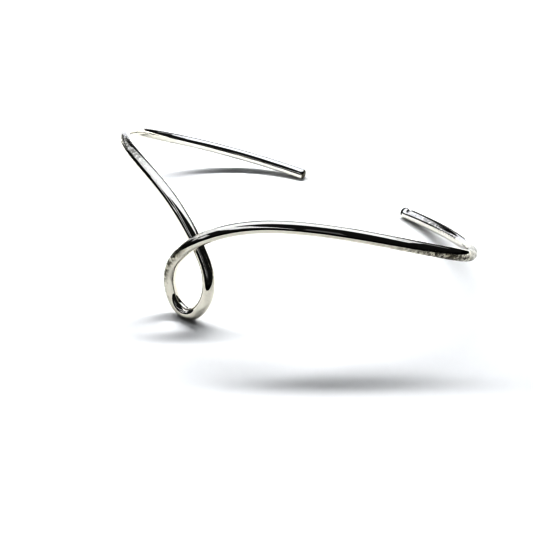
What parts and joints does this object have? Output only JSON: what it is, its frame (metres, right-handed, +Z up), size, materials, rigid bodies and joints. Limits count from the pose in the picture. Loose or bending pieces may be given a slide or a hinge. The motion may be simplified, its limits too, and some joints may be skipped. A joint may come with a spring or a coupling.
{
  "type": "wire bangle",
  "caption": "Open oval cuff bangle bent from round polished silver wire, crossing itself at the front into a small hanging teardrop loop, with plain ends at the back.",
  "frame": {"origin": "middle of the footprint, on the surface that the bangle rests on", "axes": "+X across the wrist, +Y from the hanging loop to the gap between the ends, +Z up from the surface that it rests on"},
  "size_m": [0.0618, 0.0444, 0.0187],
  "materials": {
    "polished_silver": "mirror polish with the faint ripples of hand bending"
  },
  "bodies": {
    "root": {"bent_wire": "polished_silver"}
  },
  "joints": []
}
